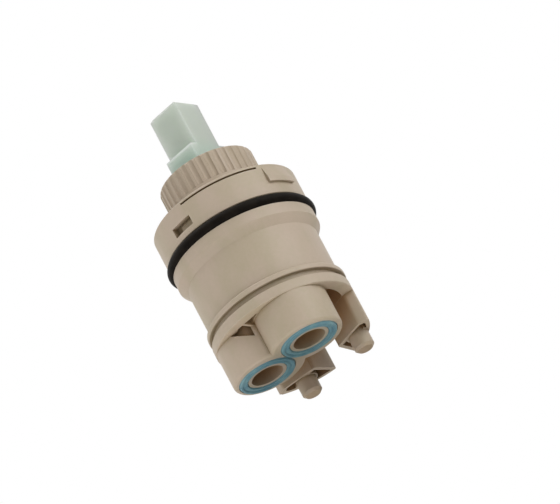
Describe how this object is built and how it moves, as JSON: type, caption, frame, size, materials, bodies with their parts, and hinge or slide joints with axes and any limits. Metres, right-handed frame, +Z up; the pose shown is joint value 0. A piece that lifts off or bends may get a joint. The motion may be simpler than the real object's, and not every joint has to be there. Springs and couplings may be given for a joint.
{
  "type": "mixer tap cartridge",
  "caption": "Single-lever ceramic disc cartridge for a mixer tap, with a knurled collar, body O-ring, sealed inlet tubes and an open outlet between hollow legs.",
  "frame": {"origin": "on the cartridge's axis, level with the tips of the locating pins", "axes": "+Z up the axis to the lever's stem; inlet tubes towards -Y, legs and open outlet towards +Y; +X along the line of the inlets"},
  "size_m": [0.0366, 0.0366, 0.071],
  "materials": {
    "housing_plastic": "satin moulded",
    "collar_plastic": "satin moulded",
    "lever_plastic": "translucent, satin",
    "black_rubber": "smooth, slightly greased",
    "blue_rubber": "smooth",
    "ceramic": "lapped",
    "carrier_plastic": "satin moulded",
    "glide_plastic": "smooth",
    "damper_plastic": "smooth",
    "steel": "ground"
  },
  "bodies": {
    "housing": {"sleeve": "housing_plastic", "top_cap": "housing_plastic", "base": "housing_plastic", "body_oring": "black_rubber", "inlet_seal_left": "blue_rubber", "inlet_seal_right": "blue_rubber", "port_seal_left": "black_rubber", "port_seal_right": "black_rubber", "port_seal_outlet": "black_rubber", "fixed_disc": "ceramic", "glide_ring": "glide_plastic"},
    "collar": {"spindle_collar": "collar_plastic", "pivot_pin": "steel"},
    "lever": {"lever": "lever_plastic"},
    "carrier": {"disc_carrier": "carrier_plastic", "noise_damper": "damper_plastic", "carrier_seal": "black_rubber", "moving_disc": "ceramic"}
  },
  "joints": [
    {"name": "spindle_turn", "type": "hinge", "parent": "housing", "child": "collar", "pos_m": [0, 0, 0.045], "axis": [0, 0, 1], "range_deg": [-50, 50]},
    {"name": "lever_tilt", "type": "hinge", "parent": "collar", "child": "lever", "pos_m": [0, 0, 0.04235], "axis": [1, 0, 0], "range_deg": [-12.5, 12.5]},
    {"name": "carrier_slide", "type": "slide", "parent": "collar", "child": "carrier", "axis": [0, 1, 0], "range_m": [-0.0024, 0.0024]}
  ],
  "couplings": [
    {"joint": "carrier_slide", "follows": "lever_tilt", "m_per_rad": 0.01095}
  ]
}
